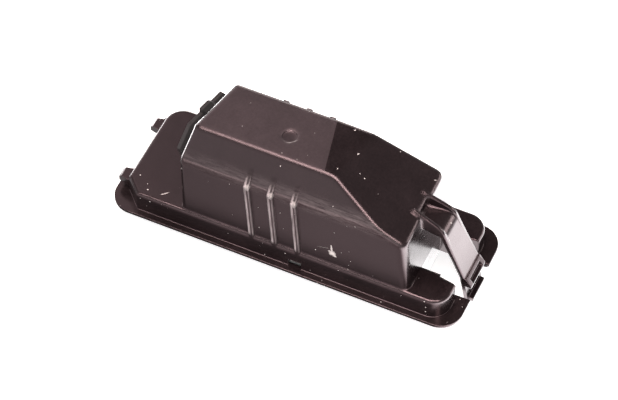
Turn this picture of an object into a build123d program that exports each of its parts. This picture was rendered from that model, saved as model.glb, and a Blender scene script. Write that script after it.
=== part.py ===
"""Snap-in number plate lamp: moulded housing, clear lens, bulb holder and wedge-base bulb.

Millimetres, +Z up. The lamp lies on its lens, the origin is the middle of its lower face and
+X runs along the lamp from the hooks to the spring clip. -Y is the side with the wide shoulder.
"""
import os
from math import cos, hypot, radians, sin, sqrt, tan

from build123d import *

# Flange and base
flange_length = 86.0
flange_width = 30.2
flange_thickness = 1.4
flange_corner = 5.4
flange_edge = 0.7
base_length = 79.6
base_width = 27.0
base_rise = 5.5
base_corner = 4.5
key_corner = 4.0
base_edge = 0.8
wall = 1.8
lobe_corner = 1.5

# Lens
lens_drop = 2.0
lens_seat_depth = 1.6
lens_seat_width = 0.9
lens_clearance = 0.1
lens_floor = 1.8
lens_wall = 1.6
lens_edge = 0.8
lens_corner = 1.5
flute_pitch = 3.4
flute_height = 0.5

# Box on the base, with two shoulders, a sloping roof and a skewed left end
near_wall_y = -12.85
far_foot_y = 12.6
near_top_y = -7.05
far_top_y = 7.8
box_rise = 23.7
shoulder_drop = 6.7
box_end_gap = 8.8
box_end_draft = 5.0
box_left_gap = 14.6
box_left_skew = 12.4
roof_x = 11.4
roof_pitch = 23.4
roof_skew = -10.0
roof_bend = 6.0
crease_x = 6.2
crease_pitch = 2.0
crease_skew = 13.2
box_edge = 1.3
shoulder_bend = 3.2
end_corner = 1.9

# Ribs on the long walls
rib_count = 3
rib_pitch = 5.65
rib_middle_x = -1.4
rib_width = 1.3
rib_height = 0.65
rib_lean = 3.6
rib_fade = 4.2
far_rib_drop = 1.1

# Hooks at the left end
panel_gap = 2.1
hook_y = 8.0
hook_reach = 2.8
hook_root = 3.6
hook_tip = 2.3
hook_thickness = 2.0
hook_bevel = 0.7
notch_near_y = -7.2
notch_far_y = 10.4

# Spring clip at the right end
clip_slot = 10.8
slot_step_reach = 4.6
slot_step = 0.6
slot_flare = 0.7
strap_near_y = -4.0
strap_far_y = 2.4
strap_width = 7.9
strap_thickness = 1.5
leg_thickness = 1.1
strap_start_inset = 2.2
strap_step = 2.725
bend_reach = 3.9
bend_drop = 0.4
bend_depth = 2.2
bend_radius = 4.0
leg_lean = 22.9
leg_foot = 2.6
nose_step = 0.35
nose_reach = 1.75
nose_tip = 0.6
ledge_width = 5.6
ledge_depth = 0.9
tail_thickness = 0.9
tail_inset = 0.25
tail_lean = 10.0
lip_reach = 1.0
lip_thickness = 0.9
lip_width = 6.6
lip_lift = 0.2
lip_corner = 0.4
clip_rib_width = 0.8
clip_rib_height = 0.4
clip_rib_rise = 0.6
clip_rib_inset = 3.3
clip_rib_end = 5.0

# Gate dimple on the top and vent slots at the foot of the long walls
dimple_x = -3.2
dimple_y = -1.1
dimple_diameter = 3.5
dimple_depth = 0.4
vent_x = 3.6
vent_width = 3.2
vent_height = 2.1

# Bulb holder in the box's left end
holder_margin = 2.8
holder_flange = 2.6
collar_cut = 5.0
holder_axis_y = 2.2
holder_axis_rise = 11.5
holder_width = 11.0
holder_height = 13.0
holder_depth = 13.5
holder_corner = 1.0
holder_clearance = 0.2
finger_lip_u = 2.55
finger_lip_width = 2.9
finger_lip_height = 1.2
snap_height = 0.7
snap_length = 2.0
snap_width = 5.0
snap_clearance = 0.1
plug_width = 8.6
plug_height = 9.6
plug_depth = 7.4
plug_corner = 0.8

# Wedge-base bulb and its two contacts
wedge_width = 9.4
wedge_thickness = 2.1
wedge_length = 6.4
wedge_lift = 0.8
wedge_clearance = 0.25
bulb_length = 26.2
bulb_diameter = 10.0
bulb_neck_diameter = 8.4
bulb_shoulder = 2.4
bulb_wall = 0.6
lead_diameter = 0.3
lead_spread = 5.2
lead_fold = 4.0
filament_diameter = 0.5
filament_height = 16.4
contact_thickness = 0.6
contact_width = 2.8
contact_clearance = 0.05
contact_end = 0.3
pin_recess = 1.5
pin_bevel = 0.2

# Levels and planes that follow from the sizes above
flange_top = lens_drop + flange_thickness
base_top = flange_top + base_rise
box_top = base_top + box_rise
lens_seat_z = lens_drop + lens_seat_depth
catch_z = flange_top + panel_gap
box_left_x = box_left_gap - base_length / 2
box_end_x = base_length / 2 - box_end_gap

skew = radians(box_left_skew)
seat_x = box_left_x + (holder_axis_y - near_wall_y) * tan(skew)
seat = Plane(
    origin=(seat_x, holder_axis_y, base_top + holder_axis_rise),
    x_dir=(-sin(skew), -cos(skew), 0),
    z_dir=(-cos(skew), sin(skew), 0),
)
bulb_side = Plane(origin=seat.origin, x_dir=seat.y_dir, z_dir=seat.x_dir)
bulb_axis = Axis(seat.origin, seat.z_dir)


def sloping_plane(x, fall, turn):
    """Plane that leaves the top at x and falls by an angle, its level line turned from the Y axis."""
    fall = radians(fall)
    turn = radians(turn)
    return Plane(origin=(x, 0, box_top), z_dir=(sin(fall) * cos(turn), sin(fall) * sin(turn), cos(fall)))


pitch = radians(roof_pitch)
draft = radians(box_end_draft)
end_plane = Plane(origin=(box_end_x, 0, base_top), z_dir=(cos(draft), 0, sin(draft)))
facet_plane = sloping_plane(crease_x, crease_pitch, crease_skew)
roof_plane = sloping_plane(roof_x, roof_pitch, roof_skew)

# Corners of the box's cross-section above its foot, as (y, z)
box_section = [
    (near_wall_y, box_top - shoulder_drop),
    (near_top_y, box_top),
    (far_top_y, box_top),
    (far_foot_y, base_top),
]

os.makedirs("parts", exist_ok=True)


def base_plan(inset, right_x, right_corner):
    """Outline of the base moved in by inset and ended at right_x, with its key corner cut off."""
    left = inset - base_length / 2
    side = base_width / 2 - inset
    cut = key_corner - inset * (2 - sqrt(2))
    with BuildSketch() as plan:
        Polygon((left + cut, -side), (right_x, -side), (right_x, side), (left, side), (left, cut - side))
        fillet(plan.vertices().group_by(Axis.X)[-1], right_corner)
        fillet(plan.vertices().sort_by_distance((left, side))[0], base_corner - inset)
    return plan.sketch


def box_solid(inset):
    """The box from the flange's underside up, with its walls and roof moved in by inset."""
    foot_z = lens_drop - inset
    with BuildPart() as box:
        with BuildSketch(Plane.YZ.offset(-base_length / 2)):
            Polygon((near_wall_y, foot_z), *box_section, (far_foot_y, foot_z))
            if inset > 0:
                offset(amount=-inset, kind=Kind.INTERSECTION, mode=Mode.REPLACE)
        extrude(amount=base_length)
        for face_plane in (seat, end_plane, facet_plane, roof_plane):
            split(bisect_by=face_plane.offset(-inset), keep=Keep.BOTTOM)
    return box.part


# Spring clip, moulded on the box's right end
strap_start_x = box_end_x - strap_start_inset
bend_x = box_end_x + bend_reach
clip_rib_start_x = box_end_x - clip_rib_inset
strap_start = (strap_start_x, box_top - tan(pitch) * (strap_start_x - roof_x) - strap_step)
bend = (bend_x, strap_start[1] - bend_drop)
foot_z = catch_z + leg_foot
foot = (bend_x + (bend[1] - foot_z) * tan(radians(leg_lean)), foot_z)
nose_x = foot[0] + nose_reach
tail = (foot[0] + tail_inset, catch_z)
tail_foot_x = tail[0] + (tail[1] - lip_lift) * tan(radians(tail_lean))
leg_width = leg_thickness / cos(radians(leg_lean))
root_x = box_end_x - wall - (strap_start[1] - base_top) * tan(draft) + wall / 4
root_z = strap_start[1] + (strap_start_x - root_x) * bend_drop / (bend_x - strap_start_x)
rib_start_z = box_top - tan(pitch) * (clip_rib_start_x - roof_x)
rib_bend = (bend_x, bend[1] + clip_rib_height)
rib_foot = (bend_x + clip_rib_end * tan(radians(leg_lean)), bend[1] - clip_rib_end)

with BuildPart() as clip:
    with BuildSketch(Plane.XZ) as rails:
        Polygon(
            (clip_rib_start_x, rib_start_z + clip_rib_rise),
            rib_bend,
            rib_foot,
            (bend_x - leg_width / 2, bend[1] - bend_depth / 2),
            (root_x, root_z - strap_thickness / 2),
            (clip_rib_start_x, rib_start_z - wall / 2),
        )
        fillet(rails.vertices().sort_by_distance(rib_bend)[0], bend_radius)
    extrude(amount=strap_width, both=True)
    with BuildSketch(Plane.XY):
        Polygon(
            (0, strap_near_y + clip_rib_width),
            (strap_start_x, strap_near_y + clip_rib_width),
            (foot[0], clip_rib_width - strap_width / 2),
            (foot[0], strap_width / 2 - clip_rib_width),
            (strap_start_x, strap_far_y - clip_rib_width),
            (0, strap_far_y - clip_rib_width),
        )
    extrude(amount=box_top, mode=Mode.SUBTRACT)
    with BuildSketch(Plane.XZ) as strap:
        Polygon(
            (root_x, root_z),
            bend,
            foot,
            (foot[0] + nose_step, foot_z),
            (nose_x, catch_z + nose_tip),
            (nose_x, catch_z),
            tail,
            (tail_foot_x, lip_lift),
            (tail_foot_x - tail_thickness, lip_lift),
            (tail[0] - tail_thickness, catch_z),
            (foot[0] - leg_width, foot_z),
            (bend_x - leg_width + bend_depth * tan(radians(leg_lean)), bend[1] - bend_depth),
            (root_x, root_z - strap_thickness),
        )
        fillet(strap.vertices().sort_by_distance(bend)[0], bend_radius)
    extrude(amount=strap_width, both=True)
    with BuildSketch(Plane.XY):
        Polygon(
            (0, strap_near_y),
            (strap_start_x, strap_near_y),
            (foot[0], -strap_width / 2),
            (flange_length, -strap_width / 2),
            (flange_length, strap_width / 2),
            (foot[0], strap_width / 2),
            (strap_start_x, strap_far_y),
            (0, strap_far_y),
        )
    extrude(amount=box_top, mode=Mode.INTERSECT)
    with BuildSketch(Plane.XY.offset(catch_z + nose_tip)):
        with Locations((nose_x - ledge_depth, 0)):
            Rectangle(nose_reach, ledge_width, align=(Align.MIN, Align.CENTER))
    extrude(amount=leg_foot, mode=Mode.SUBTRACT)
    with BuildSketch(Plane.XY.offset(lip_lift)):
        with Locations((tail_foot_x + lip_reach, 0)):
            RectangleRounded(
                lip_reach + tail_thickness, lip_width, lip_corner, align=(Align.MAX, Align.CENTER)
            )
    extrude(amount=lip_thickness)

# Box with wide bends at the roof, the near shoulder and the end's corners, then its rims rounded;
# the crease across the top stays sharp
with BuildPart() as box:
    add(box_solid(0))
    fillet(box.edges().sort_by_distance((roof_x, 0, box_top))[0], roof_bend)
    fillet(box.edges().sort_by_distance((0, near_wall_y, box_top - shoulder_drop))[0], shoulder_bend)
    for corner_y in (near_wall_y, far_foot_y):
        fillet(box.edges().sort_by_distance((box_end_x, corner_y, base_top))[0], end_corner)
    lids = box.faces().filter_by(lambda face: face.normal_at().Z > 0.8)
    rims = [edge for edge in lids.edges() if sum(edge in lid.edges() for lid in lids) == 1]
    left_rim = box.faces().sort_by_distance(seat.origin)[0].edges()
    rims += [edge for edge in left_rim if edge.center().Z > base_top and edge not in rims]
    fillet(rims, box_edge)

# Section of a rib on each long wall as (y, height over the base); the near one fades on the shoulder
lean = radians(rib_lean)
shoulder_rise = box_rise - shoulder_drop
fade = rib_fade / hypot(near_top_y - near_wall_y, shoulder_drop)
near_rib = [
    (near_wall_y + wall / 2, -wall / 2),
    (near_wall_y - rib_height, -wall / 2),
    (near_wall_y - rib_height, shoulder_rise),
    (near_wall_y + fade * (near_top_y - near_wall_y), shoulder_rise + fade * shoulder_drop),
    (near_wall_y + wall / 2, shoulder_rise - wall / 2),
]
far_rib_rise = box_rise - far_rib_drop
far_rib_y = far_top_y + far_rib_drop * (far_foot_y - far_top_y) / box_rise
far_rib = [
    (far_foot_y - wall / 2, -wall / 2),
    (far_foot_y + rib_height, -wall / 2),
    (far_foot_y + rib_height, 0),
    (far_rib_y + rib_height, far_rib_rise),
    (far_rib_y - wall / 2, far_rib_rise),
]

# Housing: flange, base, box, ribs, hooks and clip in one moulding, hollow from below
with BuildPart() as housing:
    with BuildSketch(Plane.XY.offset(lens_drop)):
        RectangleRounded(flange_length, flange_width, flange_corner)
        with Locations((-flange_length / 2, notch_near_y)):
            Rectangle(
                flange_length - base_length,
                notch_far_y - notch_near_y,
                align=(Align.CENTER, Align.MIN),
                mode=Mode.SUBTRACT,
            )
    extrude(amount=flange_thickness)
    chamfer(housing.faces().sort_by(Axis.Z)[0].edges(), flange_edge)
    with BuildSketch(Plane.XY.offset(lens_drop)):
        add(base_plan(0, base_length / 2, base_corner))
    extrude(amount=base_top - lens_drop)
    fillet(housing.faces().sort_by(Axis.Z)[-1].edges(), base_edge)

    add(box.part)
    for step in range(rib_count):
        rib_x = rib_middle_x + (step - (rib_count - 1) / 2) * rib_pitch
        rib_plane = Plane((rib_x, 0, base_top), x_dir=(0, 1, 0), z_dir=(cos(lean), 0, sin(lean)))
        with BuildSketch(rib_plane):
            Polygon(*near_rib)
            Polygon(*far_rib)
        extrude(amount=rib_width / 2, both=True)

    with BuildSketch(Plane.XY.offset(catch_z)):
        with Locations((-base_length / 2, hook_y), (-base_length / 2, -hook_y)):
            Polygon(
                (wall / 2, -hook_root / 2),
                (wall / 2, hook_root / 2),
                (0, hook_root / 2),
                (-hook_reach, hook_tip / 2),
                (-hook_reach, -hook_tip / 2),
                (0, -hook_root / 2),
            )
    hooks = extrude(amount=hook_thickness)
    chamfer(hooks.edges().group_by(Axis.X)[0].group_by(Axis.Z)[-1], hook_bevel)

    # Hollow inside, with a step that the lens seats in
    add(box_solid(wall), mode=Mode.SUBTRACT)
    with BuildSketch(Plane.XY.offset(lens_drop)):
        add(base_plan(wall, box_end_x - wall, lens_corner))
    extrude(amount=base_top - wall - lens_drop, mode=Mode.SUBTRACT)
    with BuildSketch(Plane.XY.offset(lens_drop)):
        add(base_plan(wall - lens_seat_width, box_end_x - wall + lens_seat_width, lens_corner))
    extrude(amount=lens_seat_depth, mode=Mode.SUBTRACT)

    # Slot that lets the clip bend in, wider above the flange
    with BuildSketch(Plane.XY.offset(lens_drop)):
        with Locations((box_end_x, 0)):
            Rectangle(base_length, clip_slot, align=(Align.MIN, Align.CENTER))
    extrude(amount=base_top - lens_drop, mode=Mode.SUBTRACT)
    with BuildSketch(Plane.XY.offset(flange_top)):
        slot_step_x = box_end_x + slot_step_reach
        half = clip_slot / 2 + slot_step
        Polygon(
            (slot_step_x, -half),
            (base_length / 2, -half - slot_flare),
            (base_length / 2, half + slot_flare),
            (slot_step_x, half),
        )
    extrude(amount=base_rise, mode=Mode.SUBTRACT)

    # Each corner lobe beside the slot is cored out from below
    lobe_length = base_length / 2 - box_end_x - 2 * wall
    lobe_width = (base_width - clip_slot) / 2 - slot_step - slot_flare - 2 * wall
    lobe_y = (base_width - lobe_width) / 2 - wall
    with BuildSketch(Plane.XY.offset(lens_drop)):
        with Locations((base_length / 2 - wall, lobe_y), (base_length / 2 - wall, -lobe_y)):
            RectangleRounded(lobe_length, lobe_width, lobe_corner, align=(Align.MAX, Align.CENTER))
    extrude(amount=base_top - wall - lens_drop, mode=Mode.SUBTRACT)

    # The clip's strap starts in a pocket at the foot of the roof
    with BuildSketch(Plane.XY.offset(bend[1])):
        Polygon(
            (strap_start_x, strap_near_y),
            (bend_x, strap_near_y),
            (bend_x, strap_far_y),
            (strap_start_x, strap_far_y),
        )
    extrude(amount=box_top - bend[1], mode=Mode.SUBTRACT)
    add(clip.part)

    # Opening for the bulb holder, gate dimple and vents
    with BuildSketch(seat):
        RectangleRounded(
            holder_width + 2 * holder_clearance, holder_height + 2 * holder_clearance, holder_corner
        )
    extrude(amount=-2 * wall, mode=Mode.SUBTRACT)
    with BuildSketch(Plane.XY.offset(box_top)):
        with Locations((dimple_x, dimple_y)):
            Circle(dimple_diameter / 2)
    extrude(amount=-dimple_depth, mode=Mode.SUBTRACT)
    with BuildSketch(Plane.XY.offset(flange_top)):
        with Locations((vent_x, base_width / 2), (vent_x, -base_width / 2)):
            Rectangle(vent_width, 2 * wall + lens_clearance)
    extrude(amount=vent_height, mode=Mode.SUBTRACT)
housing.part.label = "housing"
export_step(housing.part, "parts/housing.step")

# Lens: a clear tray welded into the step, with flutes across its floor
lens_inset = wall - lens_seat_width + lens_clearance
lens_right_x = box_end_x - lens_inset
tray_inset = lens_inset + lens_wall
tray_right_x = lens_right_x - lens_wall
tray_left_x = tray_inset - base_length / 2
flute_count = int((tray_right_x - tray_left_x - 2 * base_corner) / flute_pitch)
flute_radius = (flute_pitch**2 / 4 + flute_height**2) / (2 * flute_height)
with BuildPart() as lens:
    with BuildSketch():
        add(base_plan(lens_inset, lens_right_x, lens_corner))
    extrude(amount=lens_seat_z)
    with BuildSketch(Plane.XY.offset(lens_floor)):
        add(base_plan(tray_inset, tray_right_x, lens_corner))
    extrude(amount=lens_seat_z, mode=Mode.SUBTRACT)
    chamfer(lens.faces().sort_by(Axis.Z)[0].edges(), lens_edge)
    with BuildSketch(Plane.XZ):
        with Locations(((tray_left_x + tray_right_x) / 2, lens_floor + flute_height - flute_radius)):
            with GridLocations(flute_pitch, 0, flute_count, 1):
                Circle(flute_radius)
        with Locations((0, lens_floor + flute_height)):
            Rectangle(
                base_length, 2 * flute_height, align=(Align.CENTER, Align.MAX), mode=Mode.INTERSECT
            )
    extrude(amount=base_width / 2 - tray_inset + lens_wall / 2, both=True)
lens.part.label = "lens"
export_step(lens.part, "parts/lens.step")

# Two brass contacts, one on each face of the bulb's wedge
contact_u = wedge_thickness / 2 + lead_diameter + contact_thickness / 2
contact_sides = (("contact_upper", 1), ("contact_lower", -1))
pin_z = holder_flange - pin_recess
contact_length = pin_z + holder_depth - contact_end
for name, side in contact_sides:
    with BuildPart() as contact:
        with BuildSketch(seat.offset(pin_z)):
            with Locations((side * contact_u, side * lead_spread / 2)):
                Rectangle(contact_thickness, contact_width)
        extrude(amount=-contact_length)
        tip = contact.faces().sort_by(bulb_axis)[-1]
        chamfer(tip.edges(), pin_bevel)
    contact.part.label = name
    export_step(contact.part, f"parts/{name}.step")

# Bulb holder: flange on the box's end, plug socket outside, wedge socket inside
wedge_slot_depth = wedge_length + wedge_lift
collar_top = box_rise - holder_axis_rise - holder_margin
collar = [(near_wall_y + collar_cut, base_top), *box_section]
with BuildPart() as bulb_holder:
    with BuildSketch(seat):
        with BuildLine():
            Polyline(*[((holder_axis_y - y) / cos(skew), z - seat.origin.Z) for y, z in collar], close=True)
        make_face()
        offset(amount=-holder_margin, kind=Kind.INTERSECTION, mode=Mode.REPLACE)
        lip_near_u = finger_lip_u + finger_lip_width / 2
        lip_far_u = finger_lip_u - finger_lip_width / 2
        Polygon(
            (lip_near_u, 0),
            (lip_near_u, collar_top + finger_lip_height),
            (lip_far_u, collar_top + finger_lip_height),
            (lip_far_u - finger_lip_height, collar_top),
            (lip_far_u - finger_lip_height, 0),
        )
    extrude(amount=holder_flange)
    with BuildSketch(seat):
        RectangleRounded(holder_width, holder_height, holder_corner)
    extrude(amount=-holder_depth)
    for side in (-1, 1):
        with BuildSketch(bulb_side):
            half = side * holder_height / 2
            catch_w = -wall - snap_clearance
            Polygon(
                (half, catch_w),
                (half + side * snap_height, catch_w),
                (half, catch_w - snap_length),
                (half - side * snap_height, catch_w),
            )
        extrude(amount=snap_width / 2, both=True)
    with BuildSketch(seat.offset(holder_flange)):
        RectangleRounded(plug_width, plug_height, plug_corner)
    extrude(amount=-plug_depth, mode=Mode.SUBTRACT)
    with BuildSketch(seat.offset(-holder_depth)):
        Rectangle(wedge_thickness + 2 * wedge_clearance, wedge_width + 2 * wedge_clearance)
    extrude(amount=wedge_slot_depth, mode=Mode.SUBTRACT)
    with BuildSketch(seat.offset(-holder_depth)):
        for name, side in contact_sides:
            with Locations((side * contact_u, side * lead_spread / 2)):
                Rectangle(contact_thickness + 2 * contact_clearance, contact_width + 2 * contact_clearance)
    extrude(amount=holder_depth, mode=Mode.SUBTRACT)
bulb_holder.part.label = "bulb_holder"
export_step(bulb_holder.part, "parts/bulb_holder.step")

# Bulb: lead wires, filament, then the glass closed round the leads
neck_w = -holder_depth
wedge_w = neck_w + wedge_length
filament_w = wedge_w - filament_height
turn_w = wedge_w + lead_diameter
lead_u = (wedge_thickness + lead_diameter) / 2
leads = []
for name, side in (("bulb_lead_upper", 1), ("bulb_lead_lower", -1)):
    lead_plane = Plane(
        origin=seat.from_local_coords((0, side * lead_spread / 2, 0)),
        x_dir=seat.x_dir * side,
        z_dir=seat.y_dir * -side,
    )
    with BuildPart() as lead:
        with BuildLine(lead_plane) as route:
            Polyline((0, filament_w), (0, turn_w), (lead_u, turn_w), (lead_u, turn_w - lead_fold))
        with BuildSketch(Plane(route.line @ 0, z_dir=route.line % 0)):
            Circle(lead_diameter / 2)
        sweep(transition=Transition.RIGHT)
    lead.part.label = name
    leads.append(lead.part)
    export_step(lead.part, f"parts/{name}.step")

filament_length = lead_spread - lead_diameter
with BuildPart() as bulb_filament:
    middle = seat.from_local_coords((0, 0, filament_w + filament_diameter))
    with BuildSketch(Plane(middle, z_dir=seat.y_dir)):
        Circle(filament_diameter / 2)
    extrude(amount=filament_length / 2, both=True)
bulb_filament.part.label = "bulb_filament"
export_step(bulb_filament.part, "parts/bulb_filament.step")

shoulder_w = neck_w - bulb_shoulder
tip_w = wedge_w - bulb_length
dome_w = tip_w + bulb_diameter / 2


def bulb_profile(inset):
    """Half outline of the glass moved in by inset, as a sketch beside the bulb's axis."""
    radius = bulb_diameter / 2 - inset
    neck = bulb_neck_diameter / 2 - inset
    with BuildSketch(bulb_side) as profile:
        with BuildLine():
            Polyline((0, neck_w - inset), (neck, neck_w - inset), (radius, shoulder_w), (radius, dome_w))
            RadiusArc((radius, dome_w), (0, tip_w + inset), radius)
            Line((0, tip_w + inset), (0, neck_w - inset))
        make_face()
    return profile.sketch


with BuildPart() as bulb_glass:
    add(bulb_profile(0))
    revolve(axis=bulb_axis)
    add(bulb_profile(bulb_wall))
    revolve(axis=bulb_axis, mode=Mode.SUBTRACT)
    with BuildSketch(seat.offset(wedge_w)):
        Rectangle(wedge_thickness, wedge_width)
    extrude(amount=-wedge_length - bulb_wall / 2)
    for lead_part in leads:
        add(lead_part, mode=Mode.SUBTRACT)
bulb_glass.part.label = "bulb_glass"
export_step(bulb_glass.part, "parts/bulb_glass.step")
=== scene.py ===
"""Number plate lamp: finishes, the bulb's filament coil and a studio round the CAD parts."""
import math

import bmesh
import bpy
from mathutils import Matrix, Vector


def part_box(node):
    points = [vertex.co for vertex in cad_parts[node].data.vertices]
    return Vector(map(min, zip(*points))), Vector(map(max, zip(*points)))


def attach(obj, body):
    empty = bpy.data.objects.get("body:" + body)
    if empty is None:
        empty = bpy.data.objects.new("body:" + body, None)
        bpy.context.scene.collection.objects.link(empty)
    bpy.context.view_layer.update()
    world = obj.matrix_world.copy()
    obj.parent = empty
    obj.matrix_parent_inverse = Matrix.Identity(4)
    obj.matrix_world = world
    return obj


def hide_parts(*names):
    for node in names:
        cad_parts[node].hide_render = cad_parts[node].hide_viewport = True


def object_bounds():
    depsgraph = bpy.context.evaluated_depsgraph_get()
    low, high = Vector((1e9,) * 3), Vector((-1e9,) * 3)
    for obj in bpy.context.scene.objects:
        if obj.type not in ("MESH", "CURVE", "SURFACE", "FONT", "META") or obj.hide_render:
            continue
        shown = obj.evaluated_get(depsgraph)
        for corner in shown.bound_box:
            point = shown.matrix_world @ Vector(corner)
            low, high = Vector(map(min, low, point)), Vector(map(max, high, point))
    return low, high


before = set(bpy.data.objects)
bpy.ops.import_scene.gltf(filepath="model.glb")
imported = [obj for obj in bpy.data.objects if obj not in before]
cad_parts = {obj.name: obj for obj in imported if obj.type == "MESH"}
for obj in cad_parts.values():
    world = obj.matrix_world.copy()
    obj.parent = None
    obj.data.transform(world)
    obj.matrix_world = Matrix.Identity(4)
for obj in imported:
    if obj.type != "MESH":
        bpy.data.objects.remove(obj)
CAD_BOX = [list(corner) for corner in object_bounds()]

bl_info = {
    "name": "Number Plate Lamp",
    "version": (1, 0, 0),
    "blender": (4, 5, 0),
    "location": "View3D > Sidebar > Lamp",
    "description": "Finishes, filament coil and studio for a snap-in number plate lamp",
    "category": "Object",
}

# One millimetre in metres; the lengths below are in millimetres
MM = 0.001
# A half size that stands for endless
ENDLESS = 1000.0

# The flat top, the skin at which its texture fades, and the skewed crease at which it ends
TOP_HEIGHT = CAD_BOX[1][2] / MM
TOP_SKIN = (0.05, 0.015)
CREASE_X = 6.2
CREASE_SKEW = math.radians(13.2)
CREASE_BLUR = 0.12

# The near wall and the shoulder over it: distances from the middle, the shoulder's outward slope
BASE_TOP = 8.9
NEAR_WALL = 12.85
NEAR_SIDE = (0, -1, 0)
SHOULDER_OUT = (-0.756, 0.655)
SHOULDER_DROP = 6.7
SHOULDER_REACH = -SHOULDER_OUT[0] * NEAR_WALL + SHOULDER_OUT[1] * (TOP_HEIGHT - SHOULDER_DROP)

# The bend under the shoulder: its middle line, how far round it the painted sheen reaches, how pale
BEND = (0.0, 0.8 - NEAR_WALL, TOP_HEIGHT - 6.2)
BEND_REACH = 3.0
BEND_SHEEN_LEVEL = 0.13

# The near wall's three ribs: middle, pitch, width, and how far they lean with height
RIB_MIDDLE = -1.4
RIB_PITCH = 5.65
RIB_WIDTH = 1.3
RIB_LEAN = math.radians(3.6)
# Painted highlight lines across a rib, from its left side to its right: share of the width,
# strength
RIB_HIGHLIGHT_PROFILE = ((0.0, 0.35), (0.18, 1.0), (0.34, 0.9), (0.5, 0.06), (0.72, 0.06), (0.86, 0.6),
               (1.0, 0.3))

# Zones where the box's long edges look softer, as axis, start and full strength: near the top,
# past the ribs, before the clip, over the foot
SOFT_ZONES = (
    ("Z", TOP_HEIGHT - 3.0, TOP_HEIGHT - 2.0),
    ("X", 7.0, 9.0),
    ("X", 32.0, 30.0),
    ("Z", BASE_TOP + 3.0, BASE_TOP + 5.0),
)
# The upright corner where the near wall meets the end wall is soft too
END_CORNER = (35.0, 0.9 - NEAR_WALL, 0.0)
END_CORNER_REACH = 3.5
# Edges of the base and the flange look sharper than those of the box
SHARP_SHARE = 0.35

# The gate dimple in the flat top, and how much of the top's texture and lighter colour its floor
# has; that lighter colour on the floor is a painted highlight
DIMPLE = (-3.2, -1.1, TOP_HEIGHT - 0.4)
DIMPLE_RADIUS = 1.75
DIMPLE_BLUR = 0.25
DIMPLE_TEXTURE_AND_SHEEN = 0.75

# Sizes of the housing's patterns: clouds in the black, mottle, waves from uneven cooling
CLOUD_SIZE = 9.0
MOTTLE_SIZE = 0.45
WAVE_SIZE = 5.0
# Heights of its bumps: waves, grain of the walls and of the top, marks
WAVE_HEIGHT = 0.045
WALL_GRAIN_HEIGHT = 0.0035
TOP_GRAIN_HEIGHT = 0.02
MARK_HEIGHT = 0.03
# Cells per millimetre of patterns that are drawn out along x, y or z
RIB_STREAKS = (3.2, 3.2, 0.22)
BEND_STREAKS = (0.3, 2.0, 2.0)
LENS_SCRATCHES = (0.25, 6.0, 6.0)
FIBRE_FLOW = (0.7, 4.0, 4.0)
ROLLING_LINES = (0.4, 9.0, 9.0)
# Cells per millimetre of torn outlines, clouds of tarnish and heat colour, and mottled tungsten
TEAR_CELLS = 1.9
TARNISH_CELLS = 0.6
STAIN_CELLS = 1.1
TUNGSTEN_CELLS = 5.0
# How far the outline of a mark is torn
MARK_TEAR = (0.55, 0.55, 0.55)

# Marks on the housing and painted highlights as flattened ellipsoids: centre, turn in degrees,
# half sizes, strength
PALE_MARKS = (
    # White bruise on the near wall with a scratch
    ((12.55, -NEAR_WALL, 12.75), (0, 20, 0), (0.8, 0.8, 0.95), 1.0),
    ((12.35, -NEAR_WALL, 14.4), (0, -5, 0), (0.24, 0.8, 1.3), 1.0),
    ((13.1, -NEAR_WALL, 12.1), (0, 35, 0), (0.55, 0.8, 0.4), 1.0),
    ((11.9, -NEAR_WALL, 13.2), (0, -20, 0), (0.45, 0.8, 0.3), 0.8),
    ((10.3, -NEAR_WALL, 13.7), (0, -16, 0), (1.6, 0.8, 0.12), 0.25),
    # Scratch on the base
    ((-30.0, -10.8, BASE_TOP), (0, 0, 43), (1.2, 0.11, 0.5), 0.8),
    # Larger specks on the wall, the crease, the roof and the clip's root
    ((-24.3, -NEAR_WALL, 23.2), (0, 0, 0), (0.2, 0.8, 0.22), 0.9),
    ((9.1, 6.5, 32.5), (0, 0, 20), (0.24, 0.16, 0.6), 1.0),
    ((12.4, 0.9, 32.2), (0, 0, 70), (0.3, 0.2, 0.6), 0.9),
    ((14.6, -3.1, 31.0), (0, 0, 30), (0.17, 0.12, 0.6), 0.8),
    ((15.8, -3.5, 30.4), (0, 0, 0), (0.13, 0.16, 0.6), 0.9),
    ((28.7, 6.1, 25.6), (0, 0, 40), (0.35, 0.12, 0.6), 0.6),
    ((35.2, 0.2, 21.0), (0, 0, 0), (0.2, 0.16, 1.0), 0.9),
    # Painted highlight on the dimple's lower rim
    ((-2.15, -2.35, 32.4), (0, 0, 38), (1.4, 0.32, 0.6), 0.28),
    # Painted highlights on the heads of the ribs
    *(((x, -13.2, 25.7), (0, 0, 0), (0.6, 0.9, 0.9), 0.45) for x in (-7.9, -2.25, 3.4)),
)

# The holder's axis, where on it the box's left end meets the collar, how far out the painted seam
# shade lies there
HOLDER_AXIS = (-0.97667, 0.21474, 0.0)
HOLDER_SEAT = 21.85
SEAM_SHADE_REACH = (2.0, 1.6)

POLYCARBONATE_IOR = 1.585
POLYESTER_IOR = 1.57
GLASS_IOR = 1.52

# Inputs of a Mix node, for colours and for plain values
FACTOR, COLOUR_A, COLOUR_B, VALUE_A, VALUE_B = 0, 6, 7, 2, 3
# The part of a noise's range that holds nearly all of it
NOISE_SPAN = {"From Min": 0.3, "From Max": 0.7}

# Pools of light in the table's mirror image, right and left: centre, half sizes, the shares of
# these where the pool begins and is full, and its strengths there
TABLE_POOLS = (
    ((64.0, 4.0, 0.0), (45.0, 55.0, 1.0), (1.4, 0.5), (0.8, 7.5)),
    ((-95.0, 35.0, 0.0), (45.0, 50.0, 1.0), (1.2, 0.4), (0.0, 18.0)),
)
TABLE_DROP = 0.1
TABLE_GLOW = 0.78
# The lamp's own shade in the right pool: middle under the end wall, reach and strength
END_SHADE = (40.0, 9.0, -TABLE_DROP)
END_SHADE_REACH = (5.0, 22.0)
END_SHADE_LEVEL = 0.36

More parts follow.
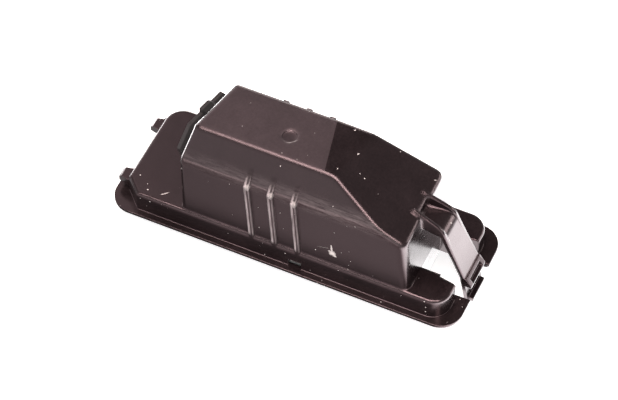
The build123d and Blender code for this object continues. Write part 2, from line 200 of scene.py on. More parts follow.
# The studio as the plastic mirrors it: strengths behind, in front and from the right, the share
# that is left overhead, and the strength under the table
FRONT_WAY = (-0.31, -0.95, 0.0)
RIGHT_WAY = (0.93, 0.37, 0.0)
BACK_GLOW = 0.14
FRONT_GLOW = 1.4
RIGHT_GLOW = 0.22
OVERHEAD_SHARE = 0.3
UNDER_GLOW = 0.7

# Soft boxes in metres: name, direction, distance, width, height, radiance, colour
SOFT_BOXES = (
    ("overhead_box", (-0.05, -0.25, 0.95), 1.0, 0.56, 0.38, 17.0, "#fff0ec"),
    ("back_left_panel", (-0.527, 0.412, 0.743), 1.0, 0.55, 0.6, 1.0, "#fff1f2"),
    ("right_front_box", (0.44, -0.28, 0.85), 1.0, 0.18, 0.45, 16.0, "#fff0ec"),
    ("back_strip", (-0.3, 0.94, 0.16), 1.2, 0.45, 0.3, 5.0, "#fff4f2"),
    ("front_strip", (-0.25, -0.95, 0.1), 1.2, 1.6, 0.2, 2.5, "#fff1ee"),
    ("left_rim_box", (-0.82, 0.5, 0.28), 1.0, 0.6, 0.4, 2.5, "#fff8f6"),
    ("right_rim_box", (0.76, 0.6, 0.22), 1.0, 0.45, 0.3, 6.0, "#fffaf6"),
)

# The photograph's camera: sensor width in millimetres and shift of its lens
SENSOR_WIDTH = 36.0
LENS_SHIFT = (0.0063, 0.0353)


def linear(code):
    """Turn an sRGB hex colour into linear RGBA."""
    parts = [int(code[i:i + 2], 16) / 255 for i in (1, 3, 5)]
    return [p / 12.92 if p <= 0.04045 else ((p + 0.055) / 1.055) ** 2.4 for p in parts] + [1.0]


def colour_setting(name, description, code):
    """Return a colour property with an sRGB hex default."""
    return bpy.props.FloatVectorProperty(
        name=name, description=description, subtype="COLOR", size=4, default=linear(code))


def length_setting(name, description, default, least=0.0):
    """Return a length property with a default and a least value in millimetres."""
    return bpy.props.FloatProperty(
        name=name, description=description, default=default * MM, min=least * MM, unit="LENGTH")


def share_setting(name, description, default):
    """Return a property between 0 and 1."""
    return bpy.props.FloatProperty(
        name=name, description=description, default=default, min=0, max=1)


def add_node(tree, kind, sockets=(), **settings):
    """Add a node, set its properties, then fill its inputs, in order or by name.

    An input takes a value, an output socket, or another node, which stands for its result.
    """
    node = tree.nodes.new(kind)
    for name, value in settings.items():
        setattr(node, name, value)
    filled = sockets if isinstance(sockets, dict) else dict(enumerate(sockets))
    for key, value in filled.items():
        if isinstance(value, bpy.types.Node):
            value = next(output for output in value.outputs if output.enabled)
        if isinstance(value, bpy.types.NodeSocket):
            tree.links.new(value, node.inputs[key])
        else:
            node.inputs[key].default_value = value
    return node


def start_material(name):
    """Make an empty node material and return it with its tree and its place in millimetres."""
    material = bpy.data.materials.new(name)
    material.use_nodes = True
    tree = material.node_tree
    tree.nodes.clear()
    place = add_node(tree, "ShaderNodeTexCoord")
    scaled = add_node(tree, "ShaderNodeVectorMath", {
        0: place.outputs["Object"], "Scale": 1 / MM}, operation="SCALE")
    return material, tree, scaled


def dress(node_name, material):
    """Give a CAD node its finish."""
    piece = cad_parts.get(node_name)
    if piece is None:
        raise RuntimeError(f"the model has no node {node_name}")
    piece.data.materials.clear()
    piece.data.materials.append(material)


class HousingFinish(bpy.types.PropertyGroup):
    """Black moulded polycarbonate of the housing."""

    colour: colour_setting("Colour", "Moulded black with a little warmth", "#1a1415")
    # Partly painted sheen: the flat top and the dimple's floor are coloured lighter than the walls
    top_colour_and_sheen: colour_setting(
        "Top Colour And Sheen", "The textured flat top, lighter partly as painted sheen", "#2c2527")
    sheen_colour: colour_setting("Sheen Colour", "Rosy cast of the gloss", "#ffe2e7")
    # Also the colour of the painted highlights on the dimple's rim and the ribs' heads
    dust_and_highlight_colour: colour_setting("Dust And Highlight Colour", "Specks of dust, bruised plastic and painted highlights", "#d9d2cf")
    # Painted highlights on the ribs and painted sheen on the bend under the shoulder
    highlight_colour: colour_setting("Highlight Colour", "Painted highlights on the ribs and the bend", "#bdb1b2")
    edge_colour: colour_setting("Edge Colour", "Plastic rubbed pale along its edges", "#4a4042")
    roughness: share_setting("Roughness", "Gloss of the polished mould faces", 0.15)
    top_roughness: share_setting("Top Roughness", "Gloss of the textured flat top", 0.46)
    # Painted highlights among the marks are dulled the same way
    mark_roughness: share_setting("Mark Roughness", "Dullness of dust, bruises and painted highlights", 0.7)
    edge_radius: length_setting(
        "Edge Radius", "Rounding that the eye sees on the sharp edges", 0.7)
    grain: length_setting("Grain", "Size of the mould's fine texture", 0.16, 0.01)
    dust_cell: length_setting("Dust Cell", "Mean distance between specks", 1.7, 0.1)


class ClearFinish(bpy.types.PropertyGroup):
    """Clear lens plastic and bulb glass."""

    lens_colour: colour_setting("Lens Colour", "Clear polycarbonate", "#f3f5f4")
    glass_colour: colour_setting("Glass Colour", "Soda-lime glass", "#f4f8f5")
    ripple: length_setting("Ripple", "Spacing of the slow waves in the surface", 6, 0.1)


class HolderFinish(bpy.types.PropertyGroup):
    """Glass-filled polyester of the bulb holder."""

    colour: colour_setting("Colour", "Dull black with grey fibre ends", "#1a1516")
    fibre_colour: colour_setting("Fibre Colour", "Fibre that shows at the skin", "#3a3233")
    # Painted shade: the seam behind the collar is coloured near black and made matt
    seam_shade_colour: colour_setting(
        "Seam Shade Colour", "Painted shade in the seam behind the collar", "#070505")
    roughness: share_setting("Roughness", "Dull moulded skin", 0.5)
    seam_shade_roughness: share_setting("Seam Shade Roughness", "Dullness of the painted shade", 0.95)


class MetalFinish(bpy.types.PropertyGroup):
    """Brass of the contacts and wire of the leads."""

    brass: colour_setting("Brass", "Rolled brass strip", "#c9a25a")
    tarnish: colour_setting("Tarnish", "Brown film on old brass", "#7d5a30")
    wire: colour_setting("Wire", "Nickel-iron lead wire", "#b9b4ad")
    wire_stain: colour_setting("Wire Stain", "Heat colour on the wire", "#7c7068")


class FilamentCoil(bpy.types.PropertyGroup):
    """Wound tungsten between the two leads."""

    turns: bpy.props.IntProperty(
        name="Turns", description="Turns along the coil", default=22, min=3)
    wire_radius: length_setting("Wire Radius", "Half of the wire's thickness", 0.045, 0.005)
    turn_points: bpy.props.IntProperty(
        name="Turn Points", description="Points round one turn", default=18, min=6)
    wire_points: bpy.props.IntProperty(
        name="Wire Points", description="Points round the wire", default=8, min=3)
    tungsten: colour_setting("Tungsten", "Grey drawn tungsten", "#8a8783")
    burnt: colour_setting("Burnt", "Darker turns near the ends", "#4c4a4c")


class StudioSettings(bpy.types.PropertyGroup):
    """White table, soft boxes and the photograph's camera."""

    azimuth: bpy.props.FloatProperty(
        name="Azimuth", description="Camera turn to the right of the front", subtype="ANGLE",
        default=math.radians(24.826))
    elevation: bpy.props.FloatProperty(
        name="Elevation", description="Camera height above the table", subtype="ANGLE",
        default=math.radians(52.735))
    distance: length_setting("Distance", "Camera to the aiming point", 645.6)
    aim_height: length_setting("Aim Height", "Height of the aiming point", 2.0)
    focal: bpy.props.FloatProperty(
        name="Focal Length", description="Lens of the camera in millimetres", default=165.2)
    floor_size: length_setting("Floor Size", "Side of the table", 6000)


class LAMP_OT_finish_housing(bpy.types.Operator):
    """Give the housing its moulded black polycarbonate"""

    bl_idname = "lamp.finish_housing"
    bl_label = "Finish Housing"

    def execute(self, context):
        """Build the plastic and put it on the housing."""
        look = context.scene.lamp_housing
        # Black polycarbonate: polished mould walls with slow waves, a textured flat top whose
        # lighter colour is partly painted sheen, rubbed edges, painted highlights on the ribs, the
        # bend and the dimple, one white bruise on the near wall, a few scratches and specks of dust
        material, tree, place = start_material("black_polycarbonate")

        # The textured zone is the flat top on the left of the skewed crease, and the dimple's
        # floor; its lighter colour is partly painted sheen on the top and a painted highlight on
        # the floor
        across = add_node(tree, "ShaderNodeVectorMath", [
            place, (1, math.tan(CREASE_SKEW), 0)], operation="DOT_PRODUCT")
        before = add_node(tree, "ShaderNodeMapRange", {
            "Value": across, "From Min": CREASE_X - CREASE_BLUR, "From Max": CREASE_X + CREASE_BLUR,
            "To Min": 1.0, "To Max": 0.0})
        axes = add_node(tree, "ShaderNodeSeparateXYZ", [place])
        high = add_node(tree, "ShaderNodeMapRange", {
            "Value": axes.outputs["Z"], "From Min": TOP_HEIGHT - TOP_SKIN[0],
            "From Max": TOP_HEIGHT - TOP_SKIN[1]})
        flat = add_node(tree, "ShaderNodeMath", [before, high], operation="MULTIPLY")
        from_dimple = add_node(tree, "ShaderNodeVectorMath", [place, DIMPLE], operation="DISTANCE")
        dimple_floor = add_node(tree, "ShaderNodeMapRange", {
            "Value": from_dimple, "From Min": DIMPLE_RADIUS,
            "From Max": DIMPLE_RADIUS - DIMPLE_BLUR, "To Max": DIMPLE_TEXTURE_AND_SHEEN})
        top = add_node(tree, "ShaderNodeMath", [flat, dimple_floor], operation="MAXIMUM")

        # Slow clouding of the black, mottle and fine grain
        cloud = add_node(tree, "ShaderNodeTexNoise", {
            "Vector": place, "Scale": 1 / CLOUD_SIZE, "Detail": 4.0, "Roughness": 0.6})
        grain = add_node(tree, "ShaderNodeTexNoise", {
            "Vector": place, "Scale": MM / look.grain, "Detail": 2.0})
        mottle = add_node(tree, "ShaderNodeTexNoise", {
            "Vector": place, "Scale": 1 / MOTTLE_SIZE, "Detail": 3.0, "Roughness": 0.7})
        # The top and the dimple's floor take the lighter colour, partly painted sheen
        shade = add_node(tree, "ShaderNodeMix", {
            FACTOR: top, COLOUR_A: look.colour, COLOUR_B: look.top_colour_and_sheen}, data_type="RGBA")
        tone = add_node(tree, "ShaderNodeMapRange", {
            "Value": cloud, **NOISE_SPAN, "To Min": 0.8, "To Max": 1.2})
        flecked = add_node(tree, "ShaderNodeMapRange", {
            "Value": mottle, **NOISE_SPAN, "To Min": 0.7, "To Max": 1.3})
        toned = add_node(tree, "ShaderNodeMath", [tone, flecked], operation="MULTIPLY")
        clouded = add_node(tree, "ShaderNodeVectorMath", {
            0: shade, "Scale": toned}, operation="SCALE")

        # Rounded edges, softest along the box and rubbed pale where the noise lets them
        tight = add_node(tree, "ShaderNodeMapRange", {
            "Value": axes.outputs["Z"], "From Min": BASE_TOP - 1.9, "From Max": BASE_TOP - 0.4,
            "To Min": SHARP_SHARE * look.edge_radius, "To Max": look.edge_radius})
        near_top, past_ribs, before_clip, over_foot = [
            add_node(tree, "ShaderNodeMapRange", {
                "Value": axes.outputs[axis], "From Min": start, "From Max": full})
            for axis, start, full in SOFT_ZONES]
        roof_run = add_node(tree, "ShaderNodeMath", [past_ribs, before_clip], operation="MULTIPLY")
        end_corner = add_node(tree, "ShaderNodeMapping", {
            "Vector": place, "Location": END_CORNER,
            "Scale": (END_CORNER_REACH, END_CORNER_REACH, ENDLESS)}, vector_type="TEXTURE")
        from_corner = add_node(tree, "ShaderNodeVectorMath", [end_corner], operation="LENGTH")
        at_corner = add_node(tree, "ShaderNodeMapRange", {
            "Value": from_corner, "From Min": 1.0, "From Max": 0.7})
        soft_runs = add_node(tree, "ShaderNodeMath", [roof_run, at_corner], operation="MAXIMUM")
        roof_edges = add_node(tree, "ShaderNodeMath", [soft_runs, over_foot], operation="MULTIPLY")
        long_edges = add_node(tree, "ShaderNodeMath", [near_top, roof_edges], operation="MAXIMUM")
        softness = add_node(tree, "ShaderNodeMath", [
            long_edges, look.edge_radius, tight], operation="MULTIPLY_ADD")
        rounded = add_node(tree, "ShaderNodeBevel", {"Radius": softness}, samples=8)
        facing = add_node(tree, "ShaderNodeNewGeometry")
        match = add_node(tree, "ShaderNodeVectorMath", [
            rounded, facing.outputs["Normal"]], operation="DOT_PRODUCT")
        edge = add_node(tree, "ShaderNodeMapRange", {
            "Value": match, "From Min": 0.97, "From Max": 0.8})
        patch = add_node(tree, "ShaderNodeMapRange", {
            "Value": cloud, "From Min": 0.42, "From Max": 0.62})
        rubbed = add_node(tree, "ShaderNodeMath", [edge, patch], operation="MULTIPLY")
        edged = add_node(tree, "ShaderNodeMix", {
            FACTOR: rubbed, COLOUR_A: clouded, COLOUR_B: look.edge_colour}, data_type="RGBA")

        # The near ribs stand proud of the wall and the shoulder, so that reach finds them
        from_wall = add_node(tree, "ShaderNodeVectorMath", [
            place, NEAR_SIDE], operation="DOT_PRODUCT")
        from_shoulder = add_node(tree, "ShaderNodeVectorMath", [
            place, (0, *SHOULDER_OUT)], operation="DOT_PRODUCT")
        over_shoulder = add_node(tree, "ShaderNodeMath", [
            from_shoulder, SHOULDER_REACH - NEAR_WALL], operation="SUBTRACT")
        reach_out = add_node(tree, "ShaderNodeMath", [
            from_wall, over_shoulder], operation="MAXIMUM")
        ridge = add_node(tree, "ShaderNodeMapRange", {
            "Value": reach_out, "From Min": NEAR_WALL + 0.15, "From Max": NEAR_WALL + 0.4})
        over_base = add_node(tree, "ShaderNodeMapRange", {
            "Value": axes.outputs["Z"], "From Min": BASE_TOP + 0.2, "From Max": BASE_TOP + 1.2})
        on_rib = add_node(tree, "ShaderNodeMath", [ridge, over_base], operation="MULTIPLY")

        # Each rib gets two painted highlight lines along its length, broken into streaks
        along = add_node(tree, "ShaderNodeMapping", {"Vector": place, "Scale": RIB_STREAKS})
        streak = add_node(tree, "ShaderNodeTexNoise", {
            "Vector": along, "Scale": 1.0, "Detail": 3.0, "Roughness": 0.6})
        streaked = add_node(tree, "ShaderNodeMapRange", {
            "Value": streak, "From Min": 0.3, "From Max": 0.6, "To Min": 0.3})
        leaning = add_node(tree, "ShaderNodeVectorMath", [
            place, (math.cos(RIB_LEAN), 0, math.sin(RIB_LEAN))], operation="DOT_PRODUCT")
        from_middle = add_node(tree, "ShaderNodeMath", [
            leaning, RIB_MIDDLE * math.cos(RIB_LEAN) + BASE_TOP * math.sin(RIB_LEAN)],
            operation="SUBTRACT")
        pitch = RIB_PITCH * math.cos(RIB_LEAN)
        over_rib = add_node(tree, "ShaderNodeMath", [
            from_middle, pitch / 2, -pitch / 2], operation="WRAP")
        rib_share = add_node(tree, "ShaderNodeMapRange", {
            "Value": over_rib, "From Min": -RIB_WIDTH / 2, "From Max": RIB_WIDTH / 2})
        profile = add_node(tree, "ShaderNodeValToRGB", [rib_share])
        stops = profile.color_ramp.elements
        for position, _ in RIB_HIGHLIGHT_PROFILE[1:-1]:
            stops.new(position)
        for stop, (_, strength) in zip(stops, RIB_HIGHLIGHT_PROFILE):
            stop.color = (strength, strength, strength, 1.0)
        lined = add_node(tree, "ShaderNodeMath", [profile, streaked], operation="MULTIPLY")
        rib_highlights = add_node(tree, "ShaderNodeMath", [on_rib, lined], operation="MULTIPLY")

        # Painted sheen along the bend under the shoulder, patchy along its length, more to the
        # right
        bend = add_node(tree, "ShaderNodeMapping", {
            "Vector": place, "Location": BEND, "Scale": (ENDLESS, BEND_REACH, BEND_REACH)},
            vector_type="TEXTURE")
        from_bend = add_node(tree, "ShaderNodeVectorMath", [bend], operation="LENGTH")
        on_bend = add_node(tree, "ShaderNodeMapRange", {
            "Value": from_bend, "From Min": 1.0, "From Max": 0.2, "To Max": BEND_SHEEN_LEVEL},
            interpolation_type="SMOOTHSTEP")
        lengthwise = add_node(tree, "ShaderNodeMapping", {"Vector": place, "Scale": BEND_STREAKS})
        bend_noise = add_node(tree, "ShaderNodeTexNoise", {
            "Vector": lengthwise, "Scale": 1.0, "Detail": 5.0, "Roughness": 0.7})
        patchy = add_node(tree, "ShaderNodeMapRange", {
            "Value": bend_noise, "From Min": 0.35, "From Max": 0.65})
        rightward = add_node(tree, "ShaderNodeMapRange", {
            "Value": axes.outputs["X"], "From Min": -25.0, "From Max": 12.0, "To Min": 0.4})
        bend_patches = add_node(tree, "ShaderNodeMath", [patchy, rightward], operation="MULTIPLY")
        frontal = add_node(tree, "ShaderNodeVectorMath", [
            facing.outputs["Normal"], NEAR_SIDE], operation="DOT_PRODUCT")
        off_roof = add_node(tree, "ShaderNodeMapRange", {
            "Value": frontal, "From Min": 0.3, "From Max": 0.55})
        kept_off = add_node(tree, "ShaderNodeMath", [bend_patches, off_roof], operation="MULTIPLY")
        bend_sheen = add_node(tree, "ShaderNodeMath", [on_bend, kept_off], operation="MULTIPLY")
        # Painted highlights on the ribs and painted sheen on the bend, in one pale colour
        all_highlights = add_node(tree, "ShaderNodeMath", [rib_highlights, bend_sheen], operation="MAXIMUM")
        highlighted = add_node(tree, "ShaderNodeMix", {
            FACTOR: all_highlights, COLOUR_A: edged, COLOUR_B: look.highlight_colour}, data_type="RGBA")

        # Dust lies in drifts, in specks of many sizes
        cell = add_node(tree, "ShaderNodeTexVoronoi", {
            "Vector": place, "Scale": MM / look.dust_cell})
        chance = add_node(tree, "ShaderNodeSeparateColor", [cell.outputs["Color"]])
        size = add_node(tree, "ShaderNodeMapRange", {
            "Value": chance.outputs["Red"], "To Min": 0.025, "To Max": 0.1})
        reach = add_node(tree, "ShaderNodeMath", [
            cell.outputs["Distance"], size], operation="DIVIDE")
        speck = add_node(tree, "ShaderNodeMapRange", {
            "Value": reach, "From Min": 1.1, "From Max": 0.7})
        drift = add_node(tree, "ShaderNodeMapRange", {
            "Value": cloud, "From Min": 0.4, "From Max": 0.65, "To Min": 0.1, "To Max": 0.7})
        kept = add_node(tree, "ShaderNodeMath", [
            chance.outputs["Green"], drift], operation="LESS_THAN")
        dust = add_node(tree, "ShaderNodeMath", [speck, kept], operation="MULTIPLY")

        # The bruise, scratches and larger specks that the photograph shows, and painted highlights
        # on the dimple's rim and the ribs' heads
        ragged = add_node(tree, "ShaderNodeTexNoise", {
            "Vector": place, "Scale": TEAR_CELLS, "Detail": 4.0})
        shift = add_node(tree, "ShaderNodeVectorMath", [
            ragged.outputs["Color"], (0.5, 0.5, 0.5)], operation="SUBTRACT")
        torn = add_node(tree, "ShaderNodeVectorMath", [
            shift, MARK_TEAR, place], operation="MULTIPLY_ADD")
        marks = dust
        for centre, turn, half_sizes, strength in PALE_MARKS:
            inside = add_node(tree, "ShaderNodeMapping", {
                "Vector": torn, "Location": centre,
                "Rotation": [math.radians(angle) for angle in turn], "Scale": half_sizes},
                vector_type="TEXTURE")
            off = add_node(tree, "ShaderNodeVectorMath", [inside], operation="LENGTH")
            mark = add_node(tree, "ShaderNodeMapRange", {
                "Value": off, "From Min": 1.1, "From Max": 0.6, "To Max": strength})
            marks = add_node(tree, "ShaderNodeMath", [marks, mark], operation="MAXIMUM")
        # Marks, dust and the painted highlights take the pale colour
        coloured = add_node(tree, "ShaderNodeMix", {
            FACTOR: marks, COLOUR_A: highlighted, COLOUR_B: look.dust_and_highlight_colour}, data_type="RGBA")

        # Gloss falls on the textured top and on every mark
        plain = add_node(tree, "ShaderNodeMapRange", {
            "Value": cloud, **NOISE_SPAN, "To Min": look.roughness - 0.04,
            "To Max": look.roughness + 0.04})
        uneven = add_node(tree, "ShaderNodeMath", [mottle, 0.12, plain], operation="MULTIPLY_ADD")
        dulled = add_node(tree, "ShaderNodeMix", {
            FACTOR: top, VALUE_A: uneven, VALUE_B: look.top_roughness}, data_type="FLOAT")
        matt = add_node(tree, "ShaderNodeMix", {
            FACTOR: marks, VALUE_A: dulled, VALUE_B: look.mark_roughness}, data_type="FLOAT")

        # Mould grain, deeper on the flat top, over slow waves from uneven cooling
        depth = add_node(tree, "ShaderNodeMapRange", {
            "Value": top, "To Min": WALL_GRAIN_HEIGHT, "To Max": TOP_GRAIN_HEIGHT})
        fine = add_node(tree, "ShaderNodeMath", [grain, depth], operation="MULTIPLY")
        wave = add_node(tree, "ShaderNodeTexNoise", {
            "Vector": place, "Scale": 1 / WAVE_SIZE, "Detail": 1.0})
        height = add_node(tree, "ShaderNodeMath", [
            wave, WAVE_HEIGHT, fine], operation="MULTIPLY_ADD")
        proud = add_node(tree, "ShaderNodeMath", [
            marks, MARK_HEIGHT, height], operation="MULTIPLY_ADD")
        bump = add_node(tree, "ShaderNodeBump", {
            "Height": proud, "Distance": MM, "Normal": rounded})
        shader = add_node(tree, "ShaderNodeBsdfPrincipled", {
            "Base Color": coloured, "Roughness": matt, "IOR": POLYCARBONATE_IOR,
            "Specular Tint": look.sheen_colour, "Normal": bump})
        add_node(tree, "ShaderNodeOutputMaterial", {"Surface": shader})
        dress("housing", material)
        return {"FINISHED"}


class LAMP_OT_finish_lens(bpy.types.Operator):
    """Give the lens its clear polycarbonate"""

    bl_idname = "lamp.finish_lens"
    bl_label = "Finish Lens"

    def execute(self, context):
        """Build the clear plastic and put it on the lens."""
        look = context.scene.lamp_clear
        # Clear polycarbonate: glossy, with slow moulding waves and a faint haze of fine scratches
        material, tree, place = start_material("clear_polycarbonate")
        wave = add_node(tree, "ShaderNodeTexNoise", {
            "Vector": place, "Scale": MM / look.ripple, "Detail": 2.0})
        along = add_node(tree, "ShaderNodeMapping", {
            "Vector": place, "Scale": LENS_SCRATCHES, "Rotation": (0, 0, math.radians(20))})
        hair = add_node(tree, "ShaderNodeTexNoise", {"Vector": along, "Scale": 1.0, "Detail": 3.0})
        haze = add_node(tree, "ShaderNodeMapRange", {
            "Value": hair, "From Min": 0.55, "From Max": 0.75, "To Min": 0.01, "To Max": 0.09})
        bump = add_node(tree, "ShaderNodeBump", {"Height": wave, "Distance": 0.04 * MM})
        shader = add_node(tree, "ShaderNodeBsdfPrincipled", {
            "Base Color": look.lens_colour, "Roughness": haze, "IOR": POLYCARBONATE_IOR,
            "Transmission Weight": 1.0, "Normal": bump})
        add_node(tree, "ShaderNodeOutputMaterial", {"Surface": shader})
        dress("lens", material)
        # Clear plastic casts no black shadow, so that light reaches the inside
        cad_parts["lens"].visible_shadow = False
        return {"FINISHED"}


class LAMP_OT_finish_holder(bpy.types.Operator):
    """Give the bulb holder its glass-filled polyester"""

    bl_idname = "lamp.finish_holder"
    bl_label = "Finish Bulb Holder"

    def execute(self, context):
        """Build the dull plastic and put it on the holder."""
        look = context.scene.lamp_holder
        # Glass-filled polyester: dull black skin with pale fibre ends lying along the flow, and
        # painted shade in the seam where the collar meets the housing
        material, tree, place = start_material("glass_filled_polyester")
        flow = add_node(tree, "ShaderNodeMapping", {"Vector": place, "Scale": FIBRE_FLOW})
        fibre = add_node(tree, "ShaderNodeTexNoise", {
            "Vector": flow, "Scale": 1.2, "Detail": 5.0, "Roughness": 0.65})
        ends = add_node(tree, "ShaderNodeMapRange", {
            "Value": fibre, "From Min": 0.5, "From Max": 0.78})
        fibrous = add_node(tree, "ShaderNodeMix", {
            FACTOR: ends, COLOUR_A: look.colour, COLOUR_B: look.fibre_colour}, data_type="RGBA")
        skin = add_node(tree, "ShaderNodeMapRange", {
            "Value": fibre, **NOISE_SPAN, "To Min": look.roughness - 0.08,
            "To Max": look.roughness + 0.1})
        outward = add_node(tree, "ShaderNodeVectorMath", [
            place, HOLDER_AXIS], operation="DOT_PRODUCT")
        # Painted shade in the seam next to the housing's end
        seam_shade = add_node(tree, "ShaderNodeMapRange", {
            "Value": outward, "From Min": HOLDER_SEAT + SEAM_SHADE_REACH[0],
            "From Max": HOLDER_SEAT + SEAM_SHADE_REACH[1]})
        tint = add_node(tree, "ShaderNodeMix", {
            FACTOR: seam_shade, COLOUR_A: fibrous, COLOUR_B: look.seam_shade_colour}, data_type="RGBA")
        gloss = add_node(tree, "ShaderNodeMix", {
            FACTOR: seam_shade, VALUE_A: skin, VALUE_B: look.seam_shade_roughness}, data_type="FLOAT")
        rounded = add_node(tree, "ShaderNodeBevel", {"Radius": 0.15 * MM}, samples=4)
        bump = add_node(tree, "ShaderNodeBump", {
            "Height": fibre, "Distance": 0.03 * MM, "Normal": rounded})
        shader = add_node(tree, "ShaderNodeBsdfPrincipled", {
            "Base Color": tint, "Roughness": gloss, "IOR": POLYESTER_IOR, "Normal": bump})
        add_node(tree, "ShaderNodeOutputMaterial", {"Surface": shader})
        dress("bulb_holder", material)
        return {"FINISHED"}


class LAMP_OT_finish_metal(bpy.types.Operator):
    """Give the contacts and the lead wires their metals"""

    bl_idname = "lamp.finish_metal"
    bl_label = "Finish Contacts and Leads"

    def execute(self, context):
        """Build brass and wire, and put them on their parts."""
        look = context.scene.lamp_metal
        # Rolled brass: fine rolling lines along the strip and brown tarnish in clouds
        material, tree, place = start_material("rolled_brass")
        along = add_node(tree, "ShaderNodeMapping", {"Vector": place, "Scale": ROLLING_LINES})
        line = add_node(tree, "ShaderNodeTexNoise", {"Vector": along, "Scale": 1.0, "Detail": 3.0})
        cloud = add_node(tree, "ShaderNodeTexNoise", {
            "Vector": place, "Scale": TARNISH_CELLS, "Detail": 4.0})
        film = add_node(tree, "ShaderNodeMapRange", {
            "Value": cloud, "From Min": 0.42, "From Max": 0.75})
        tint = add_node(tree, "ShaderNodeMix", {
            FACTOR: film, COLOUR_A: look.brass, COLOUR_B: look.tarnish}, data_type="RGBA")
        gloss = add_node(tree, "ShaderNodeMapRange", {
            "Value": line, **NOISE_SPAN, "To Min": 0.22, "To Max": 0.4})
        rounded = add_node(tree, "ShaderNodeBevel", {"Radius": 0.08 * MM}, samples=4)
        bump = add_node(tree, "ShaderNodeBump", {
            "Height": line, "Distance": 0.01 * MM, "Normal": rounded})
        shader = add_node(tree, "ShaderNodeBsdfPrincipled", {
            "Base Color": tint, "Metallic": 1.0, "Roughness": gloss, "Normal": bump})
        add_node(tree, "ShaderNodeOutputMaterial", {"Surface": shader})
        for name in ("contact_upper", "contact_lower"):
            dress(name, material)

        # Nickel-iron wire: grey, drawn smooth, with heat colour in clouds
        material, tree, place = start_material("nickel_iron_wire")
        cloud = add_node(tree, "ShaderNodeTexNoise", {
            "Vector": place, "Scale": STAIN_CELLS, "Detail": 3.0})
        stain = add_node(tree, "ShaderNodeMapRange", {
            "Value": cloud, "From Min": 0.4, "From Max": 0.7})
        tint = add_node(tree, "ShaderNodeMix", {
            FACTOR: stain, COLOUR_A: look.wire, COLOUR_B: look.wire_stain}, data_type="RGBA")
        gloss = add_node(tree, "ShaderNodeMapRange", {
            "Value": cloud, **NOISE_SPAN, "To Min": 0.25, "To Max": 0.42})
        shader = add_node(tree, "ShaderNodeBsdfPrincipled", {
            "Base Color": tint, "Metallic": 1.0, "Roughness": gloss})
        add_node(tree, "ShaderNodeOutputMaterial", {"Surface": shader})
        for name in ("bulb_lead_upper", "bulb_lead_lower"):
            dress(name, material)
        return {"FINISHED"}


class LAMP_OT_finish_glass(bpy.types.Operator):
    """Give the bulb its glass"""

    bl_idname = "lamp.finish_glass"
    bl_label = "Finish Bulb Glass"

    def execute(self, context):
        """Build the glass and put it on the bulb."""
        look = context.scene.lamp_clear
        # Soda-lime glass: fire-polished, with slow ripples from blowing and pressing
        material, tree, place = start_material("soda_lime_glass")
        wave = add_node(tree, "ShaderNodeTexNoise", {
            "Vector": place, "Scale": 2 * MM / look.ripple, "Detail": 1.0})
        film = add_node(tree, "ShaderNodeMapRange", {
            "Value": wave, "From Min": 0.5, "From Max": 0.8, "To Max": 0.06})
        bump = add_node(tree, "ShaderNodeBump", {"Height": wave, "Distance": 0.08 * MM})
        shader = add_node(tree, "ShaderNodeBsdfPrincipled", {
            "Base Color": look.glass_colour, "Roughness": film, "IOR": GLASS_IOR,
            "Transmission Weight": 1.0, "Normal": bump})
        add_node(tree, "ShaderNodeOutputMaterial", {"Surface": shader})
        dress("bulb_glass", material)
        # Glass casts no black shadow on the filament and the leads
        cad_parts["bulb_glass"].visible_shadow = False
        return {"FINISHED"}


